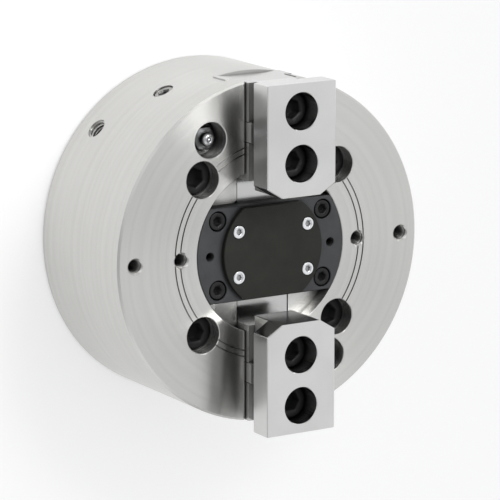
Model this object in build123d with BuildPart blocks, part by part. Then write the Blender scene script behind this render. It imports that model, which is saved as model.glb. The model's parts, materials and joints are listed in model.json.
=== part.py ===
"""Two-jaw, closed-centre wedge power chuck for a lathe. All lengths are in millimetres.

Frame: the origin is the centre of the rear mounting face, +Z is the spindle axis towards
the jaws, and Y is the direction in which the two jaws slide. Pulling the wedge plunger
towards -Z draws both jaws in along the inclined T-hooks at the inner ends of the master
jaws. The model stands at the open end of its travel.
"""
import os
from math import cos, radians, sin, tan

from build123d import *

os.makedirs("parts", exist_ok=True)

# ---- driving dimensions -------------------------------------------------------------
BODY_R = 82.5             # 165 mm chuck
FACE_Z = 74.0             # front face above the rear mounting face
EDGE_CHAMFER = 1.0
EDGE_BREAK = 0.3          # small chamfers of slot edges and hole mouths
RUNNING_GAP = 0.05        # radial or side clearance of parts that slide on each other
LOOSE_GAP = 0.3           # space between moving parts that don't guide each other
SINK_ANGLE = 90.0         # included angle of countersinks and chamfered mouths
OVERCUT = 1.0             # how far a cut runs past the surface that it opens

REGISTER_R = 70.0         # rear register for the spindle adapter
REGISTER_DEPTH = 5.0
MOUNT_PCD = 104.78        # four M10 socket screws on the bolt circle of an A2-5 nose
MOUNT_HOLE_R = 5.5
MOUNT_CBORE_R = 8.75
MOUNT_CBORE_DEPTH = 17.5
MOUNT_SCREW_R = 5.0
MOUNT_SCREW_LENGTH = 50.0

RECESS_R = 40.3           # central recess of the front face
RECESS_DEPTH = 7.5
RECESS_Z = FACE_Z - RECESS_DEPTH
BORE_R = 28.0             # bore in which the wedge plunger slides

RING_RADII = (49.3, 52.1)  # two fine grooves turned into the front face
RING_WIDTH = 0.7
RING_DEPTH = 0.6

FACE_HOLE_X = (48.8, 73.35)   # tapped holes for work locators, on both sides
FACE_HOLE_R = 3.4
FACE_HOLE_DEPTH = 16.0
FACE_HOLE_MOUTH = 0.7

LIFT_HOLE_R = 4.25        # M10 eyebolt holes in the rim
LIFT_HOLE_MOUTH = 0.9
LIFT_HOLE_DEPTH = 16.0
LIFT_HOLE_Z = 16.7
LIFT_HOLE_TURN = 48.2     # degrees from the jaw direction
PLUG_R = 5.0              # plugs of the cross-drilled grease ways in the rim
PLUG_LENGTH = 9.0
PLUG_SINK = 0.6
PLUG_KEY_FLATS = 5.0
PLUG_Z = 37.2
PLUG_TURN = 26.6
RIM_PLANE_R = 90.0        # start of the rim drillings, outside the body

SLOT_NECK = 14.3          # half width of the jaw slot at the front face
SLOT_WING = 18.2          # half width of its T
WING_LOW_Z = 51.5
WING_TOP_Z = 63.0
POCKET_HALF = 13.3        # pocket for the leg of the master jaw
POCKET_LOW_Z = 28.0
POCKET_OUT_Y = 41.0

COVER_R = 39.0            # rear cover and its seat
COVER_THICK = 6.0
COVER_HOLE_R = 20.0
COVER_EDGE = 0.5
COVER_SCREW_PCD = 66.0
COVER_SINK_R = 5.2        # countersinks and the screws' heads
COVER_HEAD_R = 4.9
COVER_HEAD_SINK = 0.2
COVER_HEAD_DEPTH = 2.8
COVER_SCREW_LENGTH = 18.0
COVER_TAP_DEPTH = 14.0
COVER_KEY_FLATS = 3.0
COVER_KEY_DEPTH = 2.0
M5_TAP_R = 2.15
M5_SHANK_R = 2.1
M5_CLEAR_R = 2.75

# wedge: an inclined plane through (WEDGE_Y, WEDGE_Z), leaning in towards the front
WEDGE_ANGLE = 15.0
WEDGE_Y = 23.0
WEDGE_Z = 46.0
WEDGE_GAP = 0.15
HOOK_NECK = 5.0           # half widths and depths of the T-hook
HOOK_NECK_DEPTH = 3.0
HOOK_HEAD = 9.0
HOOK_HEAD_DEPTH = 4.0
HOOK_LOW = -15.0          # the hook's ends, measured along the wedge from its centre
HOOK_HIGH = 14.0
HOOK_SLOT_LOW = -17.6

PLUNGER_LOW_Z = 24.0
PLUNGER_TOP_Z = 65.0
PLUNGER_EDGE = 0.8
ACCESS_R = 8.5            # hole in the plunger for the draw nut's key
NUT_BORE_R = 12.0
NUT_BORE_TOP_Z = 46.0
NUT_LOW_Z = 26.8
NUT_TOP_Z = 45.7
NUT_THREAD_R = 8.65       # M20 x 2.5 minor diameter
NUT_KEY_DEPTH = 5.0
NUT_KEY_FLATS = 14.0
RING_LOW_Z = 25.0         # retaining ring of the draw nut
RING_THICK = 1.5
RING_GROOVE_R = 13.2
RING_GROOVE_PLAY = 0.05
RING_INNER_R = 10.2
RING_SPLIT = 5.0
RING_LUG_X = 4.6          # plier holes beside the split
RING_LUG_R = 0.8
DETENT_Z = 36.0
DETENT_HOLE_R = 2.6
DETENT_BALL_R = 2.5
DETENT_PLUG_X = 21.5
DETENT_PLUG_LENGTH = 5.5
DETENT_KEY_FLATS = 2.5
DETENT_KEY_DEPTH = 2.5
SPRING_WIRE_R = 0.3
SPRING_TURNS = 5
SPRING_CLEAR = 0.3

MASTER_NECK = 13.8        # half widths of the master jaw
MASTER_LEG = 13.0
MASTER_TOP_Z = FACE_Z + 2.6
MASTER_LOW_TOP_Z = RECESS_Z - LOOSE_GAP
MASTER_STEP_Y = 34.6
MASTER_OUT_Y = 81.0
LEG_LOW_Z = 30.0
LEG_OUT_Y = 40.0

JAW_HALF = 18.64          # top jaw: flange and stem
JAW_STEM_HALF = 10.5
JAW_STEM_OUT_Y = 81.5
JAW_IN_Y = 29.95
JAW_OUT_Y = 83.07
JAW_CORNER_X = 8.07
JAW_CORNER_Y = 5.0
JAW_FLANGE_Z = FACE_Z + 15.0
JAW_TOP_Z = FACE_Z + 27.1
JAW_EDGE = 0.4
JAW_SEAT_Z = FACE_Z + 8.0
JAW_CBORE_R = 8.8
JAW_BOLT_Y = (45.4, 69.9)
M10_HEAD_R = 8.0
M10_HEAD_HEIGHT = 10.0
M10_HEAD_EDGE = 0.8
M10_KEY_FLATS = 8.0
M10_CLEAR_R = 5.5
M10_TAP_R = 4.3
M10_SHANK_R = 4.25
M10_LENGTH = 25.0
M10_TAP_Z = 54.0

KEY_Y = 57.6              # cross key between top jaw and master jaw
KEY_WIDTH = 10.0
KEY_HALF = 13.9
KEY_LOW_Z = FACE_Z - 1.5
KEY_TOP_Z = FACE_Z + 5.0
KEY_SLOT_GAP = 0.05
KEY_EDGE = 0.4
KEY_HEAD_R = 3.5          # M4 screw of the key
KEY_HEAD_HEIGHT = 4.0
KEY_HEAD_EDGE = 0.3
KEY_SCREW_FLATS = 3.0
KEY_CBORE_R = 3.7
KEY_CBORE_DEPTH = 4.2
KEY_CLEAR_R = 2.2
KEY_TAP_R = 1.7
KEY_SHANK_R = 1.65
KEY_SHANK_LOW_Z = 64.0
KEY_TAP_LOW_Z = 62.5

PLATE_R = 40.2            # centre plate in the front recess
PLATE_HALF_Y = 22.8
PLATE_EDGE = 0.4
PLATE_HOLE_R = 14.0
PLATE_SCREWS = (28.9, 16.5)
PLATE_CBORE_R = 4.8
PLATE_CBORE_DEPTH = 5.5
PLATE_TAP_LOW_Z = 52.5
PLATE_SCREW_LENGTH = 14.0
JACK_HOLE_X = 33.2
JACK_HOLE_R = 2.1
M5_HEAD_R = 4.25
M5_HEAD_HEIGHT = 5.0
M5_HEAD_EDGE = 0.4
M5_KEY_FLATS = 4.0

LID_R = 27.0              # raised cover plate over the key access
LID_HALF_Y = 22.0
LID_THICK = 2.6
LID_EDGE = 0.3
LID_SCREWS = (19.0, 10.9)
LID_CBORE_R = 3.35
LID_CBORE_DEPTH = 1.7
LID_HEAD_R = 3.1
LID_HEAD_HEIGHT = 1.9
LID_HEAD_EDGE = 0.4
LID_KEY_FLATS = 2.5
LID_CLEAR_R = 1.7
LID_TAP_R = 1.3
LID_SHANK_R = 1.25
LID_SCREW_LENGTH = 6.0
LID_TAP_LOW_Z = 68.0
SEAL_IN_R = 15.6
SEAL_OUT_R = 17.6
SEAL_DEPTH = 1.5
SEAL_ROUND = 0.4

NIPPLE_AT = (-32.7, 55.3)  # one nipple; the other is opposite
NIPPLE_CBORE_R = 8.5
NIPPLE_CBORE_DEPTH = 11.0
NIPPLE_TAP_R = 3.0
NIPPLE_TAP_DEPTH = 7.0
NIPPLE_SHANK_LENGTH = 6.0
NIPPLE_HEX_R = 6.3
NIPPLE_HEX_HEIGHT = 5.0
NIPPLE_NECK_R = 2.5
NIPPLE_HEAD_R = 3.25      # standard 6.5 mm head
NIPPLE_HEAD_HEIGHT = 3.0
NIPPLE_HEAD_EDGE = 0.8
NIPPLE_TOP_Z = FACE_Z - 1.5
NIPPLE_WAY_R = 0.7
NIPPLE_BALL_R = 1.0
NIPPLE_BALL_SINK = 0.8    # depth of the ball's centre under the head's top
NIPPLE_SEAT_DEPTH = 2.0

SIDES = (("a", 1), ("b", -1))


# ---- helpers ------------------------------------------------------------------------
def level(height, side=1):
    """Horizontal plane whose y axis runs out along the jaw of that side."""
    return Plane(origin=(0, 0, height), x_dir=(side, 0, 0), z_dir=(0, 0, 1))


def profile(side=1):
    """Upright plane through the spindle axis: x runs out along a jaw and y runs up."""
    return Plane(origin=(0, 0, 0), x_dir=(0, side, 0), z_dir=(side, 0, 0))


def wedge_plane(side, along):
    """Plane square to the wedge of one side, `along` it from its centre.

    Its x axis lies across the jaw and its y axis points out of the plunger's flat.
    """
    lean = radians(WEDGE_ANGLE)
    y = WEDGE_Y - along * sin(lean)
    z = WEDGE_Z + along * cos(lean)
    return Plane(
        origin=(0, side * y, z),
        x_dir=(side, 0, 0),
        z_dir=(0, -side * sin(lean), cos(lean)),
    )


def wedge_y(height, gap=0.0):
    """Distance of the plunger's flat from the axis, plus a gap, at one height."""
    return WEDGE_Y - (height - WEDGE_Z) * tan(radians(WEDGE_ANGLE)) + gap


def drill(low, high, radius, points=((0, 0),)):
    """Cut round upright holes between two heights of the part being built."""
    with BuildSketch(Plane.XY.offset(low)) as holes:
        with Locations(*points):
            Circle(radius)
    extrude(holes.sketch, amount=high - low, mode=Mode.SUBTRACT)


def break_mouths(points, radius, size, top=FACE_Z):
    """Chamfer the mouths of upright holes of one radius in the part being built."""
    with BuildSketch(Plane.XY.offset(top)) as mouths:
        with Locations(*points):
            Circle(radius + size)
    extrude(mouths.sketch, amount=-size, taper=SINK_ANGLE / 2, mode=Mode.SUBTRACT)


def opposite(point):
    """A point and its copy turned half a turn about the spindle axis."""
    return (point, (-point[0], -point[1]))


def corners(half):
    """The four corners of a rectangle given by its half sizes."""
    return [(sx * half[0], sy * half[1]) for sx in (1, -1) for sy in (1, -1)]


def rim_plane(turn, height, side):
    """Plane outside the rim, looking at the axis, `turn` degrees from the jaw direction."""
    angle = radians(90 + turn)
    out = (side * cos(angle), side * sin(angle), 0)
    return Plane(
        origin=(RIM_PLANE_R * out[0], RIM_PLANE_R * out[1], height),
        x_dir=(0, 0, 1),
        z_dir=(-out[0], -out[1], 0),
    )


def socket_screws(points, seat, head, shank, key_flats, edge):
    """Socket screws on one seat height. head and shank are (radius, length) pairs."""
    with BuildSketch(Plane.XY.offset(seat)) as heads:
        with Locations(*points):
            Circle(head[0])
    extrude(heads.sketch, amount=head[1])
    chamfer(edges().group_by(Axis.Z)[-1], edge)
    with BuildSketch(Plane.XY.offset(seat)) as shanks:
        with Locations(*points):
            Circle(shank[0])
    extrude(shanks.sketch, amount=-shank[1])
    with BuildSketch(Plane.XY.offset(seat + head[1])) as sockets:
        with Locations(*points):
            RegularPolygon(key_flats / 2, 6, major_radius=False)
    extrude(sockets.sketch, amount=-head[1] / 2, mode=Mode.SUBTRACT)


# ---- chuck body ---------------------------------------------------------------------
MOUNT_HALF = MOUNT_PCD / 2 * cos(radians(45))
MOUNT_POINTS = corners((MOUNT_HALF, MOUNT_HALF))
NIPPLE_POINTS = opposite(NIPPLE_AT)
COVER_TOP_Z = REGISTER_DEPTH + COVER_THICK
COVER_SCREW_POINTS = corners([COVER_SCREW_PCD / 2 * cos(radians(45))] * 2)

with BuildPart() as chuck_body:
    with BuildSketch():
        Circle(BODY_R)
    extrude(amount=FACE_Z)
    chamfer(chuck_body.edges().group_by(Axis.Z)[0], EDGE_CHAMFER)
    chamfer(chuck_body.edges().group_by(Axis.Z)[-1], EDGE_CHAMFER)

    # Register, seat of the rear cover, plunger bore and front recess, from back to front.
    drill(0, REGISTER_DEPTH, REGISTER_R)
    drill(REGISTER_DEPTH, COVER_TOP_Z, COVER_R + RUNNING_GAP)
    drill(COVER_TOP_Z, RECESS_Z, BORE_R)
    drill(RECESS_Z, FACE_Z, RECESS_R)

    # T-slot for both jaws, open at the rim, and a deeper pocket for the jaws' legs.
    with BuildSketch(Plane.XZ):
        with Locations((0, WING_LOW_Z)):
            Rectangle(2 * SLOT_WING, WING_TOP_Z - WING_LOW_Z, align=(Align.CENTER, Align.MIN))
            Rectangle(2 * SLOT_NECK, FACE_Z + OVERCUT - WING_LOW_Z, align=(Align.CENTER, Align.MIN))
        with BuildLine():
            Polyline(
                (-SLOT_NECK - EDGE_BREAK, FACE_Z),
                (SLOT_NECK + EDGE_BREAK, FACE_Z),
                (SLOT_NECK, FACE_Z - EDGE_BREAK),
                (-SLOT_NECK, FACE_Z - EDGE_BREAK),
                close=True,
            )
        make_face()
    extrude(amount=BODY_R + OVERCUT, both=True, mode=Mode.SUBTRACT)
    with BuildSketch(Plane.XY.offset(POCKET_LOW_Z)):
        Rectangle(2 * POCKET_HALF, 2 * POCKET_OUT_Y)
    extrude(amount=WING_LOW_Z - POCKET_LOW_Z, mode=Mode.SUBTRACT)

    # Fine grooves turned into the front face.
    for radius in RING_RADII:
        with BuildSketch(Plane.XY.offset(FACE_Z)):
            Circle(radius + RING_WIDTH / 2)
            Circle(radius - RING_WIDTH / 2, mode=Mode.SUBTRACT)
        extrude(amount=-RING_DEPTH, mode=Mode.SUBTRACT)

    # Holes of the front face: spindle bolts, grease nipples, locators, plate screws.
    with Locations(Plane.XY.offset(FACE_Z)):
        with Locations(*MOUNT_POINTS):
            CounterBoreHole(MOUNT_HOLE_R, MOUNT_CBORE_R, MOUNT_CBORE_DEPTH)
        with Locations(*NIPPLE_POINTS):
            CounterBoreHole(NIPPLE_TAP_R, NIPPLE_CBORE_R, NIPPLE_CBORE_DEPTH,
                            depth=NIPPLE_CBORE_DEPTH + NIPPLE_TAP_DEPTH)
        with Locations(*[(side * x, 0) for x in FACE_HOLE_X for side in (1, -1)]):
            CounterSinkHole(FACE_HOLE_R, FACE_HOLE_R + FACE_HOLE_MOUTH, FACE_HOLE_DEPTH,
                            SINK_ANGLE)
    break_mouths(MOUNT_POINTS, MOUNT_CBORE_R, EDGE_BREAK)
    break_mouths(NIPPLE_POINTS, NIPPLE_CBORE_R, EDGE_BREAK)
    break_mouths([(0, 0)], RECESS_R, EDGE_BREAK)
    drill(PLATE_TAP_LOW_Z, RECESS_Z, M5_TAP_R, corners(PLATE_SCREWS))
    drill(COVER_TOP_Z, COVER_TOP_Z + COVER_TAP_DEPTH, M5_TAP_R, COVER_SCREW_POINTS)

    # Rim drillings: grease ways closed by plugs, and eyebolt holes with chamfered mouths.
    for label, side in SIDES:
        with BuildSketch(rim_plane(PLUG_TURN, PLUG_Z, side)):
            Circle(PLUG_R + RUNNING_GAP)
        extrude(amount=RIM_PLANE_R - BODY_R + PLUG_SINK + PLUG_LENGTH, mode=Mode.SUBTRACT)
        with BuildSketch(rim_plane(LIFT_HOLE_TURN, LIFT_HOLE_Z, side)):
            Circle(LIFT_HOLE_R)
        extrude(amount=RIM_PLANE_R - BODY_R + LIFT_HOLE_DEPTH, mode=Mode.SUBTRACT)
        with BuildSketch(rim_plane(LIFT_HOLE_TURN, LIFT_HOLE_Z, side)):
            Circle(LIFT_HOLE_R + LIFT_HOLE_MOUTH)
        extrude(amount=RIM_PLANE_R - BODY_R + LIFT_HOLE_MOUTH, mode=Mode.SUBTRACT)
chuck_body.part.label = "chuck_body"
export_step(chuck_body.part, "parts/chuck_body.step")

with BuildPart() as rim_plugs:
    for label, side in SIDES:
        start = RIM_PLANE_R - BODY_R + PLUG_SINK
        with BuildSketch(rim_plane(PLUG_TURN, PLUG_Z, side).offset(start)):
            Circle(PLUG_R)
        extrude(amount=PLUG_LENGTH)
        with BuildSketch(rim_plane(PLUG_TURN, PLUG_Z, side).offset(start)):
            RegularPolygon(PLUG_KEY_FLATS / 2, 6, major_radius=False)
        extrude(amount=PLUG_LENGTH / 2, mode=Mode.SUBTRACT)
rim_plugs.part.label = "rim_plugs"
export_step(rim_plugs.part, "parts/rim_plugs.step")

with BuildPart() as spindle_screws:
    socket_screws(MOUNT_POINTS, FACE_Z - MOUNT_CBORE_DEPTH, (M10_HEAD_R, M10_HEAD_HEIGHT),
                  (MOUNT_SCREW_R, MOUNT_SCREW_LENGTH), M10_KEY_FLATS, M10_HEAD_EDGE)
spindle_screws.part.label = "spindle_screws"
export_step(spindle_screws.part, "parts/spindle_screws.step")

# ---- grease nipples -----------------------------------------------------------------
NIPPLE_SEAT_Z = FACE_Z - NIPPLE_CBORE_DEPTH
NIPPLE_NECK_Z = NIPPLE_SEAT_Z + NIPPLE_HEX_HEIGHT
NIPPLE_HEAD_Z = NIPPLE_TOP_Z - NIPPLE_HEAD_HEIGHT
NIPPLE_BALL_Z = NIPPLE_TOP_Z - NIPPLE_BALL_SINK

with BuildPart() as grease_nipples:
    with BuildSketch(Plane.XY.offset(NIPPLE_SEAT_Z)):
        with Locations(*NIPPLE_POINTS):
            RegularPolygon(NIPPLE_HEX_R, 6)
    extrude(amount=NIPPLE_HEX_HEIGHT)
    with BuildSketch(Plane.XY.offset(NIPPLE_SEAT_Z)):
        with Locations(*NIPPLE_POINTS):
            Circle(NIPPLE_TAP_R - RUNNING_GAP)
    extrude(amount=-NIPPLE_SHANK_LENGTH)
    with BuildSketch(Plane.XY.offset(NIPPLE_NECK_Z)):
        with Locations(*NIPPLE_POINTS):
            Circle(NIPPLE_NECK_R)
    extrude(amount=NIPPLE_HEAD_Z - NIPPLE_NECK_Z)
    with BuildSketch(Plane.XY.offset(NIPPLE_HEAD_Z)):
        with Locations(*NIPPLE_POINTS):
            Circle(NIPPLE_HEAD_R)
    extrude(amount=NIPPLE_TOP_Z - NIPPLE_HEAD_Z)
    chamfer(grease_nipples.edges().group_by(Axis.Z)[-1], NIPPLE_HEAD_EDGE)
    # Way of the grease, and the seat of the ball.
    drill(NIPPLE_SEAT_Z - NIPPLE_SHANK_LENGTH, NIPPLE_TOP_Z, NIPPLE_WAY_R, NIPPLE_POINTS)
    drill(NIPPLE_TOP_Z - NIPPLE_SEAT_DEPTH, NIPPLE_TOP_Z, NIPPLE_BALL_R + RUNNING_GAP,
          NIPPLE_POINTS)
grease_nipples.part.label = "grease_nipples"
export_step(grease_nipples.part, "parts/grease_nipples.step")

with BuildPart() as nipple_balls:
    with Locations(*[(x, y, NIPPLE_BALL_Z) for x, y in NIPPLE_POINTS]):
        Sphere(NIPPLE_BALL_R)
nipple_balls.part.label = "nipple_balls"
export_step(nipple_balls.part, "parts/nipple_balls.step")

# ---- rear cover ---------------------------------------------------------------------
with BuildPart() as rear_cover:
    with BuildSketch(Plane.XY.offset(REGISTER_DEPTH)):
        Circle(COVER_R)
        Circle(COVER_HOLE_R, mode=Mode.SUBTRACT)
    extrude(amount=COVER_THICK)
    chamfer(rear_cover.edges().group_by(Axis.Z)[0].sort_by(SortBy.RADIUS)[-1], COVER_EDGE)
    with Locations(Plane(origin=(0, 0, REGISTER_DEPTH), z_dir=(0, 0, -1))):
        with Locations(*COVER_SCREW_POINTS):
            CounterSinkHole(M5_CLEAR_R, COVER_SINK_R, COVER_THICK, SINK_ANGLE)
rear_cover.part.label = "rear_cover"
export_step(rear_cover.part, "parts/rear_cover.step")

COVER_HEAD_Z = REGISTER_DEPTH + COVER_HEAD_SINK
with BuildPart() as rear_cover_screws:
    with BuildSketch(Plane.XY.offset(COVER_HEAD_Z)):
        with Locations(*COVER_SCREW_POINTS):
            Circle(M5_SHANK_R)
    extrude(amount=COVER_SCREW_LENGTH)
    with BuildSketch(Plane.XY.offset(COVER_HEAD_Z)):
        with Locations(*COVER_SCREW_POINTS):
            Circle(COVER_HEAD_R)
    extrude(amount=COVER_HEAD_DEPTH, taper=SINK_ANGLE / 2)
    with BuildSketch(Plane.XY.offset(COVER_HEAD_Z)):
        with Locations(*COVER_SCREW_POINTS):
            RegularPolygon(COVER_KEY_FLATS / 2, 6, major_radius=False)
    extrude(amount=COVER_KEY_DEPTH, mode=Mode.SUBTRACT)
rear_cover_screws.part.label = "rear_cover_screws"
export_step(rear_cover_screws.part, "parts/rear_cover_screws.step")

# ---- wedge plunger ------------------------------------------------------------------
with BuildPart() as wedge_plunger:
    with BuildSketch(Plane.XY.offset(PLUNGER_LOW_Z)):
        Circle(BORE_R - RUNNING_GAP)
    extrude(amount=PLUNGER_TOP_Z - PLUNGER_LOW_Z)
    chamfer(wedge_plunger.edges().group_by(Axis.Z)[0], PLUNGER_EDGE)
    drill(PLUNGER_LOW_Z, NUT_BORE_TOP_Z, NUT_BORE_R)
    drill(NUT_BORE_TOP_Z, PLUNGER_TOP_Z, ACCESS_R)
    drill(RING_LOW_Z - RING_GROOVE_PLAY, RING_LOW_Z + RING_THICK + RING_GROOVE_PLAY,
          RING_GROOVE_R)
    low, high = PLUNGER_LOW_Z - OVERCUT, PLUNGER_TOP_Z + OVERCUT
    for label, side in SIDES:
        # Inclined flat, then the T-slot that holds the jaw's hook.
        with BuildSketch(profile(side)):
            with BuildLine():
                Polyline(
                    (wedge_y(low), low),
                    (wedge_y(high), high),
                    (wedge_y(low) + OVERCUT, high),
                    (wedge_y(low) + OVERCUT, low),
                    close=True,
                )
            make_face()
        extrude(amount=BORE_R + OVERCUT, both=True, mode=Mode.SUBTRACT)
        with BuildSketch(wedge_plane(side, HOOK_SLOT_LOW)):
            with Locations((0, WEDGE_GAP - HOOK_NECK_DEPTH)):
                Rectangle(2 * (HOOK_NECK + WEDGE_GAP), 2 * HOOK_NECK_DEPTH,
                          align=(Align.CENTER, Align.MIN))
                Rectangle(2 * (HOOK_HEAD + WEDGE_GAP), HOOK_HEAD_DEPTH + 2 * WEDGE_GAP,
                          align=(Align.CENTER, Align.MAX))
        extrude(amount=2 * BORE_R, mode=Mode.SUBTRACT)
    # Cross hole for the detent that keeps the draw nut from turning by itself.
    with BuildSketch(Plane.YZ):
        with Locations((0, DETENT_Z)):
            Circle(DETENT_HOLE_R)
    extrude(amount=BORE_R + OVERCUT, mode=Mode.SUBTRACT)
wedge_plunger.part.label = "wedge_plunger"
export_step(wedge_plunger.part, "parts/wedge_plunger.step")

with BuildPart() as draw_nut:
    with BuildSketch(Plane.XY.offset(NUT_LOW_Z)):
        Circle(NUT_BORE_R - RUNNING_GAP)
        Circle(NUT_THREAD_R, mode=Mode.SUBTRACT)
    extrude(amount=NUT_TOP_Z - NUT_LOW_Z - NUT_KEY_DEPTH)
    with BuildSketch(Plane.XY.offset(NUT_TOP_Z - NUT_KEY_DEPTH)):
        Circle(NUT_BORE_R - RUNNING_GAP)
        RegularPolygon(NUT_KEY_FLATS / 2, 6, major_radius=False, mode=Mode.SUBTRACT)
    extrude(amount=NUT_KEY_DEPTH)
draw_nut.part.label = "draw_nut"
export_step(draw_nut.part, "parts/draw_nut.step")

with BuildPart() as nut_retaining_ring:
    with BuildSketch(Plane.XY.offset(RING_LOW_Z)):
        Circle(RING_GROOVE_R - RUNNING_GAP)
        Circle(RING_INNER_R, mode=Mode.SUBTRACT)
        with Locations((0, -RING_GROOVE_R)):
            Rectangle(RING_SPLIT, RING_GROOVE_R, mode=Mode.SUBTRACT)
        with Locations((RING_LUG_X, -RING_INNER_R), (-RING_LUG_X, -RING_INNER_R)):
            Circle(RING_LUG_R, mode=Mode.SUBTRACT)
    extrude(amount=RING_THICK)
nut_retaining_ring.part.label = "nut_retaining_ring"
export_step(nut_retaining_ring.part, "parts/nut_retaining_ring.step")

# Detent of the draw nut: ball, spring and threaded plug in the plunger's cross hole.
BALL_X = NUT_BORE_R - RUNNING_GAP + LOOSE_GAP + DETENT_BALL_R
with BuildPart() as detent_ball:
    with Locations((BALL_X, 0, DETENT_Z)):
        Sphere(DETENT_BALL_R)
detent_ball.part.label = "detent_ball"
export_step(detent_ball.part, "parts/detent_ball.step")

SPRING_R = DETENT_HOLE_R - SPRING_WIRE_R - SPRING_CLEAR
SPRING_LOW_X = BALL_X + DETENT_BALL_R
SPRING_PITCH = (DETENT_PLUG_X - SPRING_LOW_X - 4 * SPRING_WIRE_R) / SPRING_TURNS
with BuildPart() as detent_spring:
    with BuildLine() as coil:
        Helix(pitch=SPRING_PITCH, height=SPRING_PITCH * SPRING_TURNS, radius=SPRING_R,
              center=(SPRING_LOW_X + 2 * SPRING_WIRE_R, 0, DETENT_Z), direction=(1, 0, 0))
    with BuildSketch(Plane(origin=coil.line @ 0, z_dir=coil.line % 0)):
        Circle(SPRING_WIRE_R)
    sweep()
detent_spring.part.label = "detent_spring"
export_step(detent_spring.part, "parts/detent_spring.step")

with BuildPart() as detent_plug:
    with BuildSketch(Plane.YZ.offset(DETENT_PLUG_X)):
        with Locations((0, DETENT_Z)):
            Circle(DETENT_HOLE_R - RUNNING_GAP)
    extrude(amount=DETENT_PLUG_LENGTH)
    with BuildSketch(Plane.YZ.offset(DETENT_PLUG_X + DETENT_PLUG_LENGTH)):
        with Locations((0, DETENT_Z)):
            RegularPolygon(DETENT_KEY_FLATS / 2, 6, major_radius=False)
    extrude(amount=-DETENT_KEY_DEPTH, mode=Mode.SUBTRACT)
detent_plug.part.label = "detent_plug"
export_step(detent_plug.part, "parts/detent_plug.step")

# ---- centre plate and its cover -----------------------------------------------------
with BuildPart() as centre_plate:
    with BuildSketch(Plane.XY.offset(RECESS_Z)):
        Circle(PLATE_R)
        Rectangle(2 * PLATE_R, 2 * PLATE_HALF_Y, mode=Mode.INTERSECT)
        Circle(PLATE_HOLE_R, mode=Mode.SUBTRACT)
    extrude(amount=RECESS_DEPTH)
    chamfer(centre_plate.edges().group_by(Axis.Z)[-1], PLATE_EDGE)
    with Locations(Plane.XY.offset(FACE_Z)):
        with Locations(*corners(PLATE_SCREWS)):
            CounterBoreHole(M5_CLEAR_R, PLATE_CBORE_R, PLATE_CBORE_DEPTH, depth=RECESS_DEPTH)
        with Locations((JACK_HOLE_X, 0), (-JACK_HOLE_X, 0)):
            Hole(JACK_HOLE_R, depth=RECESS_DEPTH)
    break_mouths(corners(PLATE_SCREWS), PLATE_CBORE_R, EDGE_BREAK)
    break_mouths([(JACK_HOLE_X, 0), (-JACK_HOLE_X, 0)], JACK_HOLE_R, EDGE_BREAK)
    drill(LID_TAP_LOW_Z, FACE_Z, LID_TAP_R, corners(LID_SCREWS))
    with BuildSketch(Plane.XY.offset(FACE_Z)):
        Circle(SEAL_OUT_R)
        Circle(SEAL_IN_R, mode=Mode.SUBTRACT)
    extrude(amount=-SEAL_DEPTH, mode=Mode.SUBTRACT)
centre_plate.part.label = "centre_plate"
export_step(centre_plate.part, "parts/centre_plate.step")

with BuildPart() as centre_plate_screws:
    socket_screws(corners(PLATE_SCREWS), FACE_Z - PLATE_CBORE_DEPTH,
                  (M5_HEAD_R, M5_HEAD_HEIGHT), (M5_SHANK_R, PLATE_SCREW_LENGTH),
                  M5_KEY_FLATS, M5_HEAD_EDGE)
centre_plate_screws.part.label = "centre_plate_screws"
export_step(centre_plate_screws.part, "parts/centre_plate_screws.step")

with BuildPart() as cover_seal:
    with BuildSketch(Plane.XY.offset(FACE_Z - SEAL_DEPTH)):
        Circle(SEAL_OUT_R - RUNNING_GAP)
        Circle(SEAL_IN_R + RUNNING_GAP, mode=Mode.SUBTRACT)
    extrude(amount=SEAL_DEPTH)
    fillet(cover_seal.edges(), SEAL_ROUND)
cover_seal.part.label = "cover_seal"
export_step(cover_seal.part, "parts/cover_seal.step")

with BuildPart() as cover_plate:
    with BuildSketch(Plane.XY.offset(FACE_Z)):
        Circle(LID_R)
        Rectangle(2 * LID_R, 2 * LID_HALF_Y, mode=Mode.INTERSECT)
    extrude(amount=LID_THICK)
    chamfer(cover_plate.edges().group_by(Axis.Z)[-1], LID_EDGE)
    with Locations(Plane.XY.offset(FACE_Z + LID_THICK)):
        with Locations(*corners(LID_SCREWS)):
            CounterBoreHole(LID_CLEAR_R, LID_CBORE_R, LID_CBORE_DEPTH, depth=LID_THICK)
cover_plate.part.label = "cover_plate"
export_step(cover_plate.part, "parts/cover_plate.step")

with BuildPart() as cover_plate_screws:
    socket_screws(corners(LID_SCREWS), FACE_Z + LID_THICK - LID_CBORE_DEPTH,
                  (LID_HEAD_R, LID_HEAD_HEIGHT), (LID_SHANK_R, LID_SCREW_LENGTH),
                  LID_KEY_FLATS, LID_HEAD_EDGE)
cover_plate_screws.part.label = "cover_plate_screws"
export_step(cover_plate_screws.part, "parts/cover_plate_screws.step")

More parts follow.
